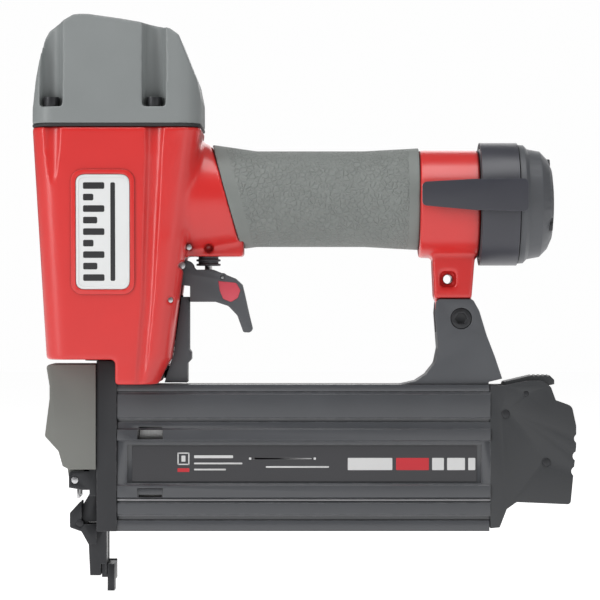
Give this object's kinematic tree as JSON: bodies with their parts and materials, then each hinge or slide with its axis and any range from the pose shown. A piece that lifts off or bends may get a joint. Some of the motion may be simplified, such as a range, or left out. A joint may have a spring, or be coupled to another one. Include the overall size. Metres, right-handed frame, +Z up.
{
  "type": "pneumatic brad nailer",
  "caption": "Compact air-driven brad nailer with a vertical cylinder housing, a rear handle with swivelling belt hook, a side-loading magazine, a latched nose door and a sliding work contact.",
  "frame": {"origin": "centre of the drive line at the bottom face of the work contact, which meets the workpiece", "axes": "+Z up along the drive line, +X from the nose back along the handle and magazine, +Y to the far side"},
  "size_m": [0.231, 0.0601, 0.2452],
  "materials": {
    "red_paint": "satin red powder coat on an aluminium casting",
    "grey_paint": "fine-textured grey paint on an aluminium casting",
    "dark_plastic": "dark grey glass-filled nylon",
    "grey_plastic": "warm grey moulded plastic",
    "soft_grip": "stippled soft overmould",
    "black_rubber": "nitrile seal",
    "dark_steel": "black oxide steel",
    "bright_steel": "bright steel",
    "aluminium": "machined and anodised",
    "brass": "turned brass",
    "foam": "sintered silencer foam",
    "badge_face": "white plate with plain dark bars",
    "label_face": "printed film, plain marks"
  },
  "bodies": {
    "frame": {"housing": "red_paint", "cap": "grey_paint", "magazine_rail": "dark_plastic", "magazine_arm": "dark_plastic", "safety_guard": "dark_plastic", "trigger_valve": "dark_plastic", "exhaust_collar": "dark_plastic", "end_cap": "dark_plastic", "handle_grip": "soft_grip", "cap_gasket": "black_rubber", "cylinder_seals": "black_rubber", "piston_bumper": "black_rubber", "exhaust_seal": "black_rubber", "nose_body": "dark_steel", "arm_bolt": "dark_steel", "arm_nut": "dark_steel", "cap_screws": "dark_steel", "nose_screws": "dark_steel", "end_cap_screws": "dark_steel", "rail_screws": "dark_steel", "roll_pins": "bright_steel", "trigger_pin": "bright_steel", "door_pin": "bright_steel", "brad_stick": "bright_steel", "head_valve_spring": "bright_steel", "safety_spring": "bright_steel", "valve_spring": "bright_steel", "trigger_spring": "bright_steel", "cylinder_sleeve": "aluminium", "inlet_bushing": "brass", "muffler": "foam", "badge": "badge_face"},
    "driver": {"piston": "aluminium", "piston_seal": "black_rubber", "driver_blade": "bright_steel"},
    "head_valve": {"head_valve": "aluminium", "head_valve_seal": "black_rubber"},
    "nose_door": {"nose_door": "dark_steel", "latch_pin": "bright_steel", "latch_wire": "bright_steel"},
    "latch_lever": {"latch_lever": "grey_plastic"},
    "contact": {"contact_tip": "dark_steel"},
    "trigger": {"trigger": "dark_plastic", "trigger_pads": "soft_grip", "rocker_pin": "bright_steel"},
    "rocker": {"rocker": "dark_steel"},
    "valve_stem": {"valve_stem": "bright_steel"},
    "cover": {"magazine_cover": "dark_plastic", "magazine_label": "label_face", "end_grip": "dark_plastic", "grip_rivets": "bright_steel", "thumb_pin": "bright_steel", "follower_spring": "bright_steel"},
    "thumb_latch": {"thumb_latch": "dark_plastic"},
    "follower": {"follower": "dark_steel"},
    "belt_hook": {"belt_hook": "dark_plastic"}
  },
  "joints": [
    {"name": "driver_stroke", "type": "slide", "parent": "frame", "child": "driver", "axis": [0, 0, -1], "range_m": [0, 0.08]},
    {"name": "head_valve_lift", "type": "slide", "parent": "frame", "child": "head_valve", "axis": [0, 0, 1], "range_m": [0, 0.004], "stiffness_N_per_m": 1500, "springref_m": -0.004, "deforming": ["head_valve_spring"]},
    {"name": "trigger_pull", "type": "hinge", "parent": "frame", "child": "trigger", "pos_m": [0.0344, 0, 0.1392], "axis": [0, -1, 0], "range_deg": [0, 12], "stiffness_Nm_per_rad": 0.4, "springref_deg": -11.46},
    {"name": "valve_stem_slide", "type": "slide", "parent": "frame", "child": "valve_stem", "axis": [0, 0, 1], "range_m": [0, 0.0024], "deforming": ["valve_spring"]},
    {"name": "rocker_tilt", "type": "hinge", "parent": "trigger", "child": "rocker", "pos_m": [0.0514, 0, 0.1343], "axis": [0, 1, 0], "range_deg": [0, 7], "stiffness_Nm_per_rad": 0.02, "springref_deg": -8.59},
    {"name": "contact_push", "type": "slide", "parent": "frame", "child": "contact", "axis": [0, 0, 1], "range_m": [0, 0.006], "stiffness_N_per_m": 700, "springref_m": -0.012, "deforming": ["safety_spring"]},
    {"name": "door_open", "type": "hinge", "parent": "frame", "child": "nose_door", "pos_m": [-0.0096, 0, 0.029], "axis": [0, -1, 0], "range_deg": [0, 80]},
    {"name": "latch_open", "type": "hinge", "parent": "nose_door", "child": "latch_lever", "pos_m": [-0.0116, 0, 0.0476], "axis": [0, -1, 0], "range_deg": [0, 75]},
    {"name": "cover_slide", "type": "slide", "parent": "frame", "child": "cover", "axis": [1, 0, 0], "range_m": [0, 0.11]},
    {"name": "thumb_press", "type": "hinge", "parent": "cover", "child": "thumb_latch", "pos_m": [0.181, 0, 0.0846], "axis": [0, 1, 0], "range_deg": [0, 8], "stiffness_Nm_per_rad": 0.05, "springref_deg": -11.46},
    {"name": "follower_slide", "type": "slide", "parent": "cover", "child": "follower", "axis": [1, 0, 0], "range_m": [0, 0.1], "stiffness_N_per_m": 30, "springref_m": -0.15, "deforming": ["follower_spring"]},
    {"name": "belt_hook_swivel", "type": "hinge", "parent": "frame", "child": "belt_hook", "pos_m": [0.1695, 0, 0.1658], "axis": [-1, 0, 0], "range_deg": [0, 180]}
  ],
  "couplings": [
    {"joint": "valve_stem_slide", "follows": "trigger_pull", "m_per_rad": 0.0108}
  ]
}
